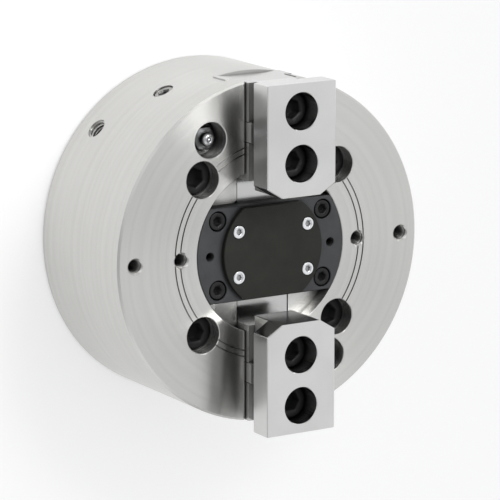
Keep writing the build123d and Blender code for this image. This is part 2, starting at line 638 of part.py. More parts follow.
# ---- jaws, one set on each side -----------------------------------------------------
for name, side in SIDES:
    with BuildPart() as master_jaw:
        # Wings that run in the T-slot.
        low, high = WING_LOW_Z + RUNNING_GAP, WING_TOP_Z - RUNNING_GAP
        with BuildSketch(profile(side)):
            with BuildLine():
                Polyline(
                    (wedge_y(low, WEDGE_GAP), low),
                    (MASTER_OUT_Y, low),
                    (MASTER_OUT_Y, high),
                    (wedge_y(high, WEDGE_GAP), high),
                    close=True,
                )
            make_face()
        extrude(amount=SLOT_WING - RUNNING_GAP, both=True)
        # Neck, low under the centre plate and raised under the top jaw.
        with BuildSketch(profile(side)):
            with BuildLine():
                Polyline(
                    (wedge_y(low, WEDGE_GAP), low),
                    (MASTER_OUT_Y, low),
                    (MASTER_OUT_Y, MASTER_TOP_Z),
                    (MASTER_STEP_Y, MASTER_TOP_Z),
                    (MASTER_STEP_Y, MASTER_LOW_TOP_Z),
                    (wedge_y(MASTER_LOW_TOP_Z, WEDGE_GAP), MASTER_LOW_TOP_Z),
                    close=True,
                )
            make_face()
        extrude(amount=MASTER_NECK, both=True)
        # Leg in the pocket, and the T-hook on its inclined inner face.
        with BuildSketch(profile(side)):
            with BuildLine():
                Polyline(
                    (wedge_y(LEG_LOW_Z, WEDGE_GAP), LEG_LOW_Z),
                    (LEG_OUT_Y, LEG_LOW_Z),
                    (LEG_OUT_Y, low),
                    (wedge_y(low, WEDGE_GAP), low),
                    close=True,
                )
            make_face()
        extrude(amount=MASTER_LEG, both=True)
        with BuildSketch(wedge_plane(side, HOOK_LOW)):
            with Locations((0, -HOOK_NECK_DEPTH)):
                Rectangle(2 * HOOK_NECK, 2 * HOOK_NECK_DEPTH, align=(Align.CENTER, Align.MIN))
                Rectangle(2 * HOOK_HEAD, HOOK_HEAD_DEPTH, align=(Align.CENTER, Align.MAX))
        extrude(amount=HOOK_HIGH - HOOK_LOW)
        # Slot and tapped hole of the cross key, and the tapped holes of the jaw screws.
        with BuildSketch(profile(side)):
            with Locations((KEY_Y, KEY_LOW_Z)):
                Rectangle(KEY_WIDTH + 2 * KEY_SLOT_GAP, MASTER_TOP_Z - KEY_LOW_Z + OVERCUT,
                          align=(Align.CENTER, Align.MIN))
        extrude(amount=SLOT_WING, both=True, mode=Mode.SUBTRACT)
        drill(KEY_TAP_LOW_Z, KEY_LOW_Z, KEY_TAP_R, ((0, side * KEY_Y),))
        drill(M10_TAP_Z, MASTER_TOP_Z, M10_TAP_R, [(0, side * y) for y in JAW_BOLT_Y])
    master_jaw.part.label = f"master_jaw_{name}"
    export_step(master_jaw.part, f"parts/master_jaw_{name}.step")

    with BuildPart() as cross_key:
        with BuildSketch(Plane.XY.offset(KEY_LOW_Z)):
            with Locations((0, side * KEY_Y)):
                Rectangle(2 * KEY_HALF, KEY_WIDTH)
        extrude(amount=KEY_TOP_Z - KEY_LOW_Z)
        chamfer(cross_key.edges().filter_by(Axis.Z), KEY_EDGE)
        with Locations((0, side * KEY_Y, KEY_TOP_Z)):
            CounterBoreHole(KEY_CLEAR_R, KEY_CBORE_R, KEY_CBORE_DEPTH,
                            depth=KEY_TOP_Z - KEY_LOW_Z)
    cross_key.part.label = f"cross_key_{name}"
    export_step(cross_key.part, f"parts/cross_key_{name}.step")

    with BuildPart() as cross_key_screw:
        seat = KEY_TOP_Z - KEY_CBORE_DEPTH
        socket_screws([(0, side * KEY_Y)], seat, (KEY_HEAD_R, KEY_HEAD_HEIGHT),
                      (KEY_SHANK_R, seat - KEY_SHANK_LOW_Z), KEY_SCREW_FLATS, KEY_HEAD_EDGE)
    cross_key_screw.part.label = f"cross_key_screw_{name}"
    export_step(cross_key_screw.part, f"parts/cross_key_screw_{name}.step")

    with BuildPart() as top_jaw:
        for low, high, half, out in (
            (MASTER_TOP_Z, JAW_FLANGE_Z, JAW_STEM_HALF, JAW_STEM_OUT_Y),
            (JAW_FLANGE_Z, JAW_TOP_Z, JAW_HALF, JAW_OUT_Y),
        ):
            with BuildSketch(level(low, side)):
                with BuildLine():
                    Polyline(
                        (JAW_HALF, JAW_OUT_Y),
                        (-JAW_HALF, JAW_OUT_Y),
                        (-JAW_HALF, JAW_IN_Y + JAW_CORNER_Y),
                        (JAW_CORNER_X - JAW_HALF, JAW_IN_Y),
                        (JAW_HALF - JAW_CORNER_X, JAW_IN_Y),
                        (JAW_HALF, JAW_IN_Y + JAW_CORNER_Y),
                        close=True,
                    )
                make_face()
                Rectangle(2 * half, 2 * out, mode=Mode.INTERSECT)
                chamfer(vertices(), EDGE_BREAK)
            extrude(amount=high - low)
        chamfer(top_jaw.edges().group_by(Axis.Z)[-1], JAW_EDGE)
        with BuildSketch(profile(side)):
            with Locations((KEY_Y, MASTER_TOP_Z)):
                Rectangle(KEY_WIDTH + 2 * KEY_SLOT_GAP, KEY_TOP_Z + KEY_SLOT_GAP - MASTER_TOP_Z,
                          align=(Align.CENTER, Align.MIN))
        extrude(amount=JAW_HALF, both=True, mode=Mode.SUBTRACT)
        with Locations(*[(0, side * y, JAW_TOP_Z) for y in JAW_BOLT_Y]):
            CounterBoreHole(M10_CLEAR_R, JAW_CBORE_R, JAW_TOP_Z - JAW_SEAT_Z,
                            depth=JAW_TOP_Z - MASTER_TOP_Z)
        break_mouths([(0, side * y) for y in JAW_BOLT_Y], JAW_CBORE_R, EDGE_BREAK, JAW_TOP_Z)
    top_jaw.part.label = f"top_jaw_{name}"
    export_step(top_jaw.part, f"parts/top_jaw_{name}.step")

    with BuildPart() as top_jaw_screws:
        socket_screws([(0, side * y) for y in JAW_BOLT_Y], JAW_SEAT_Z,
                      (M10_HEAD_R, M10_HEAD_HEIGHT), (M10_SHANK_R, M10_LENGTH),
                      M10_KEY_FLATS, M10_HEAD_EDGE)
    top_jaw_screws.part.label = f"top_jaw_screws_{name}"
    export_step(top_jaw_screws.part, f"parts/top_jaw_screws_{name}.step")
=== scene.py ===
"""Looks of the two-jaw power chuck: materials, detailed screws, nipples and threads, and the studio.

The scene is in metres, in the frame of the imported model: the origin is the centre of the rear
mounting face, +Z is the spindle axis towards the jaws and Y is the jaws' sliding direction.
Sizes of screws, nipples, plugs and threads are named in millimetres.
"""
import json
from math import cos, pi, radians, sin, tau

import bmesh
import bpy
from mathutils import Matrix, Vector


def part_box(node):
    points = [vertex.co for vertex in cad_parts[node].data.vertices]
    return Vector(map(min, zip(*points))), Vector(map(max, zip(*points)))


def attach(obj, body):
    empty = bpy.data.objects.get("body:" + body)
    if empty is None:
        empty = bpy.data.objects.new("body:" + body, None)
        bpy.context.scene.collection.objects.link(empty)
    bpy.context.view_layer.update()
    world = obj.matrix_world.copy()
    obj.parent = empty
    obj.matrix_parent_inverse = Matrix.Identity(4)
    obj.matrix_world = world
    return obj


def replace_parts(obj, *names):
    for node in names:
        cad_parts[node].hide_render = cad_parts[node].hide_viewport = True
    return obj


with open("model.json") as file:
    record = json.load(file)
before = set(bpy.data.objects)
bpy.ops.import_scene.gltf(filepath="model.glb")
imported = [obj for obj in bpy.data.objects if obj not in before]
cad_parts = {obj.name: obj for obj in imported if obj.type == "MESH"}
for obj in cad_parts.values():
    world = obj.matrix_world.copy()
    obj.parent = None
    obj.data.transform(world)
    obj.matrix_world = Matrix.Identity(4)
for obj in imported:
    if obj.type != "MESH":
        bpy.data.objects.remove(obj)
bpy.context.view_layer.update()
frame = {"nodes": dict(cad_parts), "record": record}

NODES = frame["nodes"]
RECORD = frame["record"]
SLOTS = {part["node"]: part["material_slot"] for part in RECORD["subparts"]}
BODIES = {node: body for body, nodes in RECORD["behaviour"]["bodies"].items() for node in nodes}
MOUNTS = {mount["name"]: mount["dims"] for mount in RECORD["mounts"]}
MM = 0.001

# ---- camera ---------------------------------------------------------------------------
CAMERA_AT = Vector((-0.8056, 0.3301, 1.3711))
AIM_AT = Vector((-0.0115, 0.0011, 0.074))
UP_HINT = Vector((0.0, 1.0, 0.0))
LENS = 238.8                 # millimetres
SENSOR = 36.0                # millimetres
FAR_CLIP = 50.0


def add_camera():
    camera = bpy.data.objects.new("camera", bpy.data.cameras.new("camera"))
    bpy.context.scene.collection.objects.link(camera)
    back = (CAMERA_AT - AIM_AT).normalized()
    right = UP_HINT.cross(back).normalized()
    up = back.cross(right)
    turned = Matrix((right, up, back)).transposed().to_4x4()
    camera.matrix_world = Matrix.Translation(CAMERA_AT) @ turned
    camera.data.lens = LENS
    camera.data.sensor_width = SENSOR
    camera.data.clip_end = FAR_CLIP
    bpy.context.scene.camera = camera


# ---- studio ---------------------------------------------------------------------------
FLOOR_HALF = 6.0
FLOOR_DROP = 0.2 * MM        # the floor is this far below the chuck's rear face
PAPER_GLOW = 0.53
PAPER_DARK = (0.54, 0.54, 0.54)
PAPER_LIGHT = (0.57, 0.57, 0.57)
PAPER_FIBRES = 900.0         # noise cells per metre
WHITE = (1.0, 1.0, 1.0, 1.0)
TENT_COLOUR = (0.985, 0.99, 1.0, 1.0)
TENT_STRENGTH = 0.95
TENT_PLACES = (              # direction, inner and outer angle in degrees, share of the tent's light
    ((-0.45, -0.05, 0.87), 10, 34, 0.25),
    ((0.45, -0.85, 0.35), 12, 40, 0.3),
    ((-0.2, 0.95, 0.2), 10, 30, 0.6),
    ((-0.95, -0.35, 0.25), 8, 36, 0.7),
    ((0.2, -0.03, 0.98), 3, 15, 0.4),
    ((0.2, -0.42, 0.89), 3, 15, 0.45),
)
KEY_LAMP = {"place": (0.28, 1.02, 1.25), "width": 0.75, "power": 2.0}
FACE_LAMP = {"place": (0.03, 0.2, 0.33), "width": 0.14, "power": 0.05,
             "aim": (-0.03, 0.055, 0.074), "fan": 60}


def add_floor():
    mesh = bmesh.new()
    corners = [(x * FLOOR_HALF, y * FLOOR_HALF, -FLOOR_DROP) for x, y in
               ((-1, -1), (1, -1), (1, 1), (-1, 1))]
    mesh.faces.new([mesh.verts.new(c) for c in corners])
    floor = to_object(mesh, "floor")
    floor.data.materials.append(paper_material())


def add_light(name, place, width, power, aim=(0.0, 0.0, 0.0), fan=180):
    """Square soft light that looks at a point. `fan` is the angle it lights, in degrees."""
    lamp = bpy.data.objects.new(name, bpy.data.lights.new(name, "AREA"))
    bpy.context.scene.collection.objects.link(lamp)
    lamp.data.shape = "RECTANGLE"
    lamp.data.size = lamp.data.size_y = width
    lamp.data.energy = power
    lamp.location = place
    lamp.rotation_mode = "QUATERNION"
    lamp.rotation_quaternion = (Vector(place) - Vector(aim)).to_track_quat("Z", "Y")
    lamp.data.spread = radians(fan)
    lamp.visible_camera = False


def add_world():
    """Pale studio tent, with soft darker places that give the metal its contrast."""
    world = bpy.data.worlds.new("studio")
    bpy.context.scene.world = world
    world.use_nodes = True
    tree = world.node_tree
    out = tree.nodes["Background"]
    way = add(tree, "TexCoord").outputs["Generated"]
    level = TENT_STRENGTH
    for place, inner, outer, share in TENT_PLACES:
        toward = Vector(place).normalized()
        dot = add(tree, "VectorMath", {0: way, 1: toward}, operation="DOT_PRODUCT")
        patch = add(tree, "MapRange", {
            "Value": dot.outputs["Value"],
            "From Min": cos(radians(outer)), "From Max": cos(radians(inner)),
            "To Min": 1.0, "To Max": share}, interpolation_type="SMOOTHSTEP")
        level = combine(tree, "MULTIPLY", patch.outputs["Result"], level)
    out.inputs["Color"].default_value = TENT_COLOUR
    tree.links.new(level, out.inputs["Strength"])


# ---- node helpers ---------------------------------------------------------------------
def add(tree, kind, sockets=None, **settings):
    """Add a node. `sockets` maps inputs to values or to other nodes' outputs."""
    node = tree.nodes.new("ShaderNode" + kind)
    for key, value in settings.items():
        setattr(node, key, value)
    for key, value in (sockets or {}).items():
        if isinstance(value, bpy.types.NodeSocket):
            tree.links.new(value, node.inputs[key])
        else:
            node.inputs[key].default_value = value
    return node


def new_material(name, **constants):
    """A material with its Principled shader's constant inputs set."""
    material = bpy.data.materials.new(name)
    material.use_nodes = True
    shader = material.node_tree.nodes["Principled BSDF"]
    for key, value in constants.items():
        shader.inputs[key.replace("_", " ")].default_value = value
    return material, material.node_tree, shader


def position(tree):
    """The point on the object, in metres of the row frame."""
    return add(tree, "TexCoord").outputs["Object"]


def axis_parts(tree, vector):
    """The x, y and z of a vector."""
    parts = add(tree, "SeparateXYZ", {0: vector})
    return parts.outputs["X"], parts.outputs["Y"], parts.outputs["Z"]


def combine(tree, operation, a, b):
    return add(tree, "Math", {0: a, 1: b}, operation=operation).outputs[0]


def weighted(tree, *parts):
    """Sum of values, each times its share."""
    terms = [combine(tree, "MULTIPLY", value, share) for value, share in parts]
    total = terms[0]
    for term in terms[1:]:
        total = combine(tree, "ADD", total, term)
    return total


def radius_of(tree, point):
    """Distance from the spindle axis."""
    flat = add(tree, "VectorMath", {0: point, 1: (1.0, 1.0, 0.0)}, operation="MULTIPLY")
    return add(tree, "VectorMath", {0: flat.outputs[0]}, operation="LENGTH").outputs["Value"]


def line_noise(tree, along, per_metre, detail=2.0):
    """Noise that varies only along one length."""
    place = combine(tree, "MULTIPLY", along, per_metre)
    noise = add(tree, "TexNoise", {"W": place, "Scale": 1.0, "Detail": detail},
                noise_dimensions="1D")
    return noise.outputs["Fac"]


def cloud(tree, point, per_metre, detail=3.0):
    """Noise that varies all ways."""
    noise = add(tree, "TexNoise", {"Vector": point, "Scale": per_metre, "Detail": detail})
    return noise.outputs["Fac"]


def spread(tree, value, low, high, to_low, to_high):
    """Map a value from one range to another, clamped."""
    return add(tree, "MapRange", {"Value": value, "From Min": low, "From Max": high,
                                  "To Min": to_low, "To Max": to_high}).outputs["Result"]


def blend_colours(tree, share, first, second):
    """The first colour where the share is 0, the second where it is 1."""
    mix = add(tree, "Mix", {"Factor": share}, data_type="RGBA")
    for key, colour in (("A", first), ("B", second)):
        socket = next(s for s in mix.inputs if s.name == key and s.type == "RGBA")
        socket.default_value = (*colour, 1.0)
    return next(s for s in mix.outputs if s.type == "RGBA")


def bump(tree, height, depth, strength):
    """Bump of a given depth in metres."""
    sockets = {"Height": height, "Distance": depth, "Strength": strength}
    return add(tree, "Bump", sockets).outputs["Normal"]


# ---- materials ------------------------------------------------------------------------
QUARTER = 0.25               # turn of a highlight's stretch, from along the tangent to across it
CREVICE_SAMPLES = 8
END_ON = 0.8                 # a face whose normal has this much of Y is the end of a jaw
# noise cells per metre
TURNED_NOISE = (4200.0, 300.0, 22.0)      # lines, bands and stains
GROUND_NOISE = (6000.0, 45.0)             # lines and stains
PLATED_NOISE = (700.0, 3000.0)            # mottle and grain
OXIDE_MOTTLE = 120.0
RUBBER_GRAIN = 2500.0
# depths of the bumps
TURNED_LINES = 0.006 * MM
GROUND_LINES = 0.005 * MM
OXIDE_GRAIN = 0.01 * MM
PLATED_GRAIN = 0.004 * MM
RUBBER_BUMPS = 0.03 * MM


def crevice(tree, reach, shut, clear):
    """1 on open surfaces, down to 0 in holes and corners, read from ambient occlusion."""
    shade = add(tree, "AmbientOcclusion", {"Distance": reach}, samples=CREVICE_SAMPLES)
    return spread(tree, shade.outputs["AO"], shut, clear, 0.0, 1.0)


def paint_crevice_shade(tree, shader, colour, rough, crevice_shade_and_rough, reach=0.007, limits=(0.2, 0.62)):
    """Link colour and roughness, both changed in crevices by (painted shade: how dark the colour
    gets, extra roughness).
    """
    clear = crevice(tree, reach, *limits)
    shade = spread(tree, clear, 0.0, 1.0, crevice_shade_and_rough[0], 1.0)
    # painted shade: the base colour is darkened where ambient occlusion finds holes, corners and
    # overhangs
    crevice_shaded_colour = add(tree, "VectorMath", {0: colour, "Scale": shade}, operation="SCALE")
    tree.links.new(crevice_shaded_colour.outputs[0], shader.inputs["Base Color"])
    # the same crevices are also made rougher
    extra = spread(tree, clear, 0.0, 1.0, crevice_shade_and_rough[1], 0.0)
    tree.links.new(combine(tree, "ADD", rough, extra), shader.inputs["Roughness"])


def shaded(tree, tone, light, dark, ends=(0.35, 0.65)):
    """Colour that goes from dark to light as a noise goes from one end of its range to the other."""
    return blend_colours(tree, spread(tree, tone, *ends, 0.0, 1.0), dark, light)


def paper_material():
    material, tree, shader = new_material("paper", Roughness=0.95, Specular_IOR_Level=0.0,
                                          Emission_Strength=PAPER_GLOW, Emission_Color=WHITE)
    fibres = cloud(tree, position(tree), PAPER_FIBRES)
    tree.links.new(blend_colours(tree, fibres, PAPER_DARK, PAPER_LIGHT), shader.inputs["Base Color"])
    return material


def turned_steel(name, light, dark, roughness):
    """Steel turned about the spindle axis: rings on the faces, bands round the rim."""
    material, tree, shader = new_material(name, Metallic=1.0, Anisotropic=1.0,
                                          Anisotropic_Rotation=QUARTER)
    point = position(tree)
    track = combine(tree, "ADD", radius_of(tree, point), axis_parts(tree, point)[2])
    lines_per_metre, bands_per_metre, stains_per_metre = TURNED_NOISE
    fine = line_noise(tree, track, lines_per_metre)
    coarse = line_noise(tree, track, bands_per_metre, detail=3.0)
    stain = cloud(tree, point, stains_per_metre)
    tone = weighted(tree, (coarse, 0.25), (fine, 0.25), (stain, 0.5))
    rough = spread(tree, combine(tree, "MULTIPLY", fine, stain), 0.12, 0.4, *roughness)
    paint_crevice_shade(tree, shader, shaded(tree, tone, light, dark), rough, (0.1, 0.3))
    tangent = add(tree, "Tangent", direction_type="RADIAL", axis="Z")
    tree.links.new(tangent.outputs[0], shader.inputs["Tangent"])
    tree.links.new(bump(tree, fine, TURNED_LINES, 0.5), shader.inputs["Normal"])
    return material


def ground_steel(name, light, dark, roughness, crevice_shade_and_rough=(0.06, 0.25), reach=0.012, limits=(0.45, 0.85)):
    """Surface-ground steel: straight fine lines along the jaw, and rougher milled sides."""
    material, tree, shader = new_material(name, Metallic=1.0, Anisotropic=0.45,
                                          Anisotropic_Rotation=QUARTER)
    point = position(tree)
    x, _, z = axis_parts(tree, point)
    normal = axis_parts(tree, add(tree, "TexCoord").outputs["Normal"])
    facing = [combine(tree, "ABSOLUTE", part, 0.0) for part in normal]
    # the lines run along Y: they follow one another up the sides, and across the faces
    across = add(tree, "Mix", {"Factor": facing[2]}, data_type="FLOAT")
    tree.links.new(z, across.inputs[2])
    tree.links.new(x, across.inputs[3])
    lines_per_metre, stains_per_metre = GROUND_NOISE
    fine = line_noise(tree, across.outputs[0], lines_per_metre)
    stain = cloud(tree, point, stains_per_metre)
    tone = weighted(tree, (fine, 0.4), (stain, 0.6))
    milled = spread(tree, facing[0], 0.75, 0.95, 0.0, 0.16)
    rough = combine(tree, "ADD", milled, spread(tree, stain, 0.3, 0.7, *roughness))
    paint_crevice_shade(tree, shader, shaded(tree, tone, light, dark), rough, crevice_shade_and_rough, reach, limits)
    tree.links.new(bump(tree, fine, GROUND_LINES, 0.4), shader.inputs["Normal"])
    at_end = combine(tree, "GREATER_THAN", facing[1], END_ON)
    along = add(tree, "CombineXYZ", {"X": at_end, "Y": combine(tree, "SUBTRACT", 1.0, at_end)})
    tree.links.new(along.outputs[0], shader.inputs["Tangent"])
    return material


def black_oxide(name, light, dark, roughness, grain=1800.0, specular=0.5):
    """Blackened steel: dark, satin, a little mottled, with fine grain."""
    material, tree, shader = new_material(name, Specular_IOR_Level=specular)
    point = position(tree)
    mottle = cloud(tree, point, OXIDE_MOTTLE)
    speck = cloud(tree, point, grain, detail=2.0)
    rough = spread(tree, combine(tree, "ADD", mottle, speck), 0.7, 1.3, *roughness)
    paint_crevice_shade(tree, shader, shaded(tree, mottle, light, dark, (0.3, 0.7)), rough, (0.12, 0.3), 0.012,
           (0.45, 0.8))
    tree.links.new(bump(tree, speck, OXIDE_GRAIN, 0.6), shader.inputs["Normal"])
    return material


def plated_steel(name, light, dark, roughness):
    """Bright plated screws and nipples."""
    material, tree, shader = new_material(name, Metallic=1.0)
    point = position(tree)
    mottle_per_metre, grain_per_metre = PLATED_NOISE
    mottle = cloud(tree, point, mottle_per_metre)
    rough = spread(tree, mottle, 0.3, 0.7, *roughness)
    paint_crevice_shade(tree, shader, blend_colours(tree, mottle, dark, light), rough, (0.04, 0.3), 0.01,
           (0.35, 0.9))
    grain = cloud(tree, point, grain_per_metre)
    tree.links.new(bump(tree, grain, PLATED_GRAIN, 0.5), shader.inputs["Normal"])
    return material


def rubber(name, light, dark, roughness):
    """Matt seal rubber."""
    material, tree, shader = new_material(name)
    speck = cloud(tree, position(tree), RUBBER_GRAIN)
    tree.links.new(blend_colours(tree, speck, dark, light), shader.inputs["Base Color"])
    tree.links.new(spread(tree, speck, 0.3, 0.7, *roughness), shader.inputs["Roughness"])
    tree.links.new(bump(tree, speck, RUBBER_BUMPS, 0.6), shader.inputs["Normal"])
    return material


def make_materials():
    """One material for each of the record's slots."""
    finishes = {             # slot: maker, light and dark colours, roughness, other settings
        "body_steel": (turned_steel, (0.7, 0.695, 0.675), (0.61, 0.605, 0.585), (0.2, 0.27)),
        "jaw_steel": (ground_steel, (0.69, 0.69, 0.68), (0.61, 0.61, 0.6), (0.12, 0.18)),
        "hard_steel": (ground_steel, (0.6, 0.6, 0.59), (0.52, 0.52, 0.51), (0.14, 0.24),
                       (0.6, 0.1), 0.005, (0.3, 0.8)),
        "black_steel": (black_oxide, (0.05, 0.052, 0.056), (0.036, 0.037, 0.04), (0.36, 0.5)),
        "cover_steel": (black_oxide, (0.022, 0.023, 0.018), (0.015, 0.0155, 0.012), (0.42, 0.55),
                        2400.0, 0.28),
        "black_screws": (black_oxide, (0.013, 0.013, 0.014), (0.007, 0.007, 0.008), (0.26, 0.4),
                         2600.0, 0.35),
        "screw_steel": (ground_steel, (0.5, 0.49, 0.47), (0.38, 0.375, 0.36), (0.25, 0.4)),
        "zinc_steel": (plated_steel, (0.88, 0.89, 0.9), (0.76, 0.77, 0.79), (0.14, 0.26)),
        "seal_rubber": (rubber, (0.03, 0.03, 0.03), (0.012, 0.012, 0.012), (0.6, 0.8)),
    }
    return {slot: make(slot, *values) for slot, (make, *values) in finishes.items()}


def paint_nodes():
    """Give each CAD node the material of its slot in the record."""
    for name, node in NODES.items():
        node.data.materials.clear()
        node.data.materials.append(MATERIALS[SLOTS[name]])


# ---- meshes ---------------------------------------------------------------------------
SEGMENTS = 96                # sides of a turned shape
THREAD_STEPS = 32            # sections in one turn of a thread
EDGE_STEPS = 4               # facets of a rounded edge
CREASE = 35                  # edges sharper than this, in degrees, stay crisp
WELD = 0.005 * MM            # vertices closer than this are one
EMBED = 0.04 * MM            # a thread's root reaches this far into the metal
CREST_SHARE = 0.07           # half width of a thread's crest, as a share of its pitch
ROOT_SHARE = 0.46            # half width of its root


def to_object(mesh, name):
    bmesh.ops.recalc_face_normals(mesh, faces=mesh.faces)
    data = bpy.data.meshes.new(name)
    mesh.to_mesh(data)
    mesh.free()
    piece = bpy.data.objects.new(name, data)
    bpy.context.scene.collection.objects.link(piece)
    return piece


def solids(node):
    """Boxes of the separate solids of a CAD node, as pairs of corners."""
    mesh = bmesh.new()
    mesh.from_mesh(NODES[node].data)
    bmesh.ops.remove_doubles(mesh, verts=mesh.verts, dist=WELD)
    boxes, seen = [], set()
    for start in mesh.verts:
        if start in seen:
            continue
        seen.add(start)
        stack, found = [start], []
        while stack:
            vertex = stack.pop()
            found.append(vertex.co.copy())
            for edge in vertex.link_edges:
                other = edge.other_vert(vertex)
                if other not in seen:
                    seen.add(other)
                    stack.append(other)
        boxes.append((Vector(map(min, zip(*found))), Vector(map(max, zip(*found)))))
    mesh.free()
    return sorted(boxes, key=lambda box: tuple(box[0]))


def smooth(mesh):
    """Smooth faces with crisp edges between them."""
    for face in mesh.faces:
        face.smooth = True
    for edge in mesh.edges:
        if len(edge.link_faces) == 2 and edge.calc_face_angle(0.0) > radians(CREASE):
            edge.smooth = False


def show(mesh, name, node):
    """Make a piece that moves with a CAD node and has its finish."""
    smooth(mesh)
    piece = to_object(mesh, name)
    piece.data.materials.append(MATERIALS[SLOTS[node]])
    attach(piece, BODIES[node])
    return piece


def stand_for(mesh, node):
    """Make the piece that is shown in place of a CAD node."""
    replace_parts(show(mesh, node + "_detailed", node), node)


# ---- turned and threaded shapes -------------------------------------------------------
def hexagon(flats):
    """Radius of a hexagon at an angle."""
    def radius(angle):
        return flats / 2 / cos(angle % (pi / 3) - pi / 6)
    return radius


def knurled(radius, depth):
    """Radius that swings in and out from one segment to the next."""
    def at(angle):
        return radius - depth * (0.5 - 0.5 * cos(angle * SEGMENTS / 2))
    return at


def around(angle, radius, height):
    """Point at an angle, a radius and a height."""
    return Vector((radius * cos(angle), radius * sin(angle), height))


def add_ring(mesh, place, height, radius):
    """Vertices of one ring. A radius of 0 makes a single point."""
    if not radius:
        return [mesh.verts.new(place @ Vector((0, 0, height)))]
    ring = []
    for step in range(SEGMENTS):
        angle = tau * step / SEGMENTS
        reach = radius(angle) if callable(radius) else radius
        ring.append(mesh.verts.new(place @ around(angle, reach, height)))
    return ring


def bridge(mesh, low, high):
    """Faces between two rings, either of which may be a single point."""
    count = max(len(low), len(high))
    for step in range(count):
        after = (step + 1) % count
        if len(low) == 1:
            mesh.faces.new((low[0], high[step], high[after]))
        elif len(high) == 1:
            mesh.faces.new((low[step], low[after], high[0]))
        else:
            mesh.faces.new((low[step], low[after], high[after], high[step]))


def turn(mesh, place, rings):
    """Add a closed turned shape. A ring is a height and a radius or a function of the angle."""
    before = None
    for height, radius in rings:
        ring = add_ring(mesh, place, height, radius)
        if before is not None:
            bridge(mesh, before, ring)
        before = ring


def thread(mesh, place, root, crest, pitch, low, high):
    """Add a helical ridge from `root` to `crest` radius; crest under root makes a nut's thread."""
    turns = (high - low) / pitch
    foot = root - EMBED if crest > root else root + EMBED
    before = None
    for step in range(int(turns * THREAD_STEPS) + 1):
        share = step / THREAD_STEPS
        rise = min(1.0, 2 * share, 2 * (turns - share))
        angle, height = tau * share, low + pitch * share
        tip = root + (crest - root) * rise
        outline = ((-ROOT_SHARE, foot), (-CREST_SHARE, tip), (CREST_SHARE, tip), (ROOT_SHARE, foot))
        section = [mesh.verts.new(place @ around(angle, reach, height + offset * pitch))
                   for offset, reach in outline]
        if before is None:
            mesh.faces.new(section)
        else:
            for k in range(4):
                after = (k + 1) % 4
                mesh.faces.new((before[k], before[after], section[after], section[k]))
        before = section
    mesh.faces.new(before[::-1])


def round_edge(height, radius, size):
    """Rings of a rounded outer edge, from the top face down to the side."""
    angles = [k * pi / 2 / EDGE_STEPS for k in range(EDGE_STEPS + 1)]
    return [(height - size * (1 - cos(angle)), radius - size * (1 - sin(angle)))
            for angle in angles]


def socket_rings(top, depth, flats):
    """Rings of a hexagon socket, from the drill point at its bottom to its chamfered mouth."""
    bevel = 0.07 * flats
    return [(top - depth - 0.12 * flats, 0), (top - depth, 0.44 * flats),
            (top - depth, hexagon(flats)), (top - bevel, hexagon(flats)),
            (top, 0.63 * flats)]


def scaled(rings):
    """Rings given in millimetres, in metres."""
    def in_metres(radius):
        return (lambda angle: radius(angle) * MM) if callable(radius) else radius * MM
    return [(height * MM, in_metres(radius)) for height, radius in rings]


# ---- socket screws --------------------------------------------------------------------
# node: head height, width across the socket's flats and pitch in millimetres, and the
# shank's radius as a share of the head's
SCREWS = {
    "top_jaw_screws_a": (10.0, 8.0, 1.5, 0.531),
    "top_jaw_screws_b": (10.0, 8.0, 1.5, 0.531),
    "spindle_screws": (10.0, 8.0, 1.5, 0.625),
    "centre_plate_screws": (5.0, 4.0, 0.8, 0.494),
    "cover_plate_screws": (1.9, 2.5, 0.5, 0.403),
    "cross_key_screw_a": (4.0, 3.0, 0.7, 0.494),
    "cross_key_screw_b": (4.0, 3.0, 0.7, 0.494),
}
TURNED = 37                  # degrees from one screw's socket to the next
SOCKET_DEPTH = 0.52          # as a share of the head's height
EDGE_ROUND = 0.09            # as a share of the head's radius
KNURL_DEPTH = 0.018          # as a share of the head's radius
HEAD_GAP = 0.02 * MM         # the head is this much smaller than its CAD cylinder
KNURL_GAP = 0.01 * MM
PLAIN_SHARE = 0.25           # unthreaded part of the shank
CORE_DEPTH = 0.55            # depth of the thread, as a share of its pitch


def socket_screw(mesh, place, head, shank, flats, pitch):
    """Socket head screw. head and shank are (radius, length) pairs; the seat is at height 0."""
    radius, height = head
    shank_r, length = shank
    core = shank_r - CORE_DEPTH * pitch
    plain = PLAIN_SHARE * length
    knurl = knurled(radius - KNURL_GAP, KNURL_DEPTH * radius)
    turn(mesh, place, socket_rings(height, SOCKET_DEPTH * height, flats)
         + round_edge(height, radius - HEAD_GAP, EDGE_ROUND * radius)
         + [(0.84 * height, knurl), (0.12 * height, knurl), (0.1 * height, 0.975 * radius),
            (0, 0.95 * radius), (0, shank_r), (-plain, shank_r), (-plain - 0.3 * pitch, core),
            (0.6 * pitch - length, core), (-length, 0.8 * core), (-length, 0)])
    thread(mesh, place, core, shank_r, pitch, 0.8 * pitch - length, -plain - 0.6 * pitch)


def make_screws():
    for node, (head_height, flats, pitch, shank_share) in SCREWS.items():
        mesh = bmesh.new()
        for index, (low, high) in enumerate(solids(node)):
            centre = (low + high) / 2
            radius = (high.x - low.x) / 2
            seat = high.z - head_height * MM
            place = (Matrix.Translation((centre.x, centre.y, seat))
                     @ Matrix.Rotation(radians(TURNED * index), 4, "Z"))
            socket_screw(mesh, place, (radius, head_height * MM),
                         (radius * shank_share, seat - low.z), flats * MM, pitch * MM)
        stand_for(mesh, node)


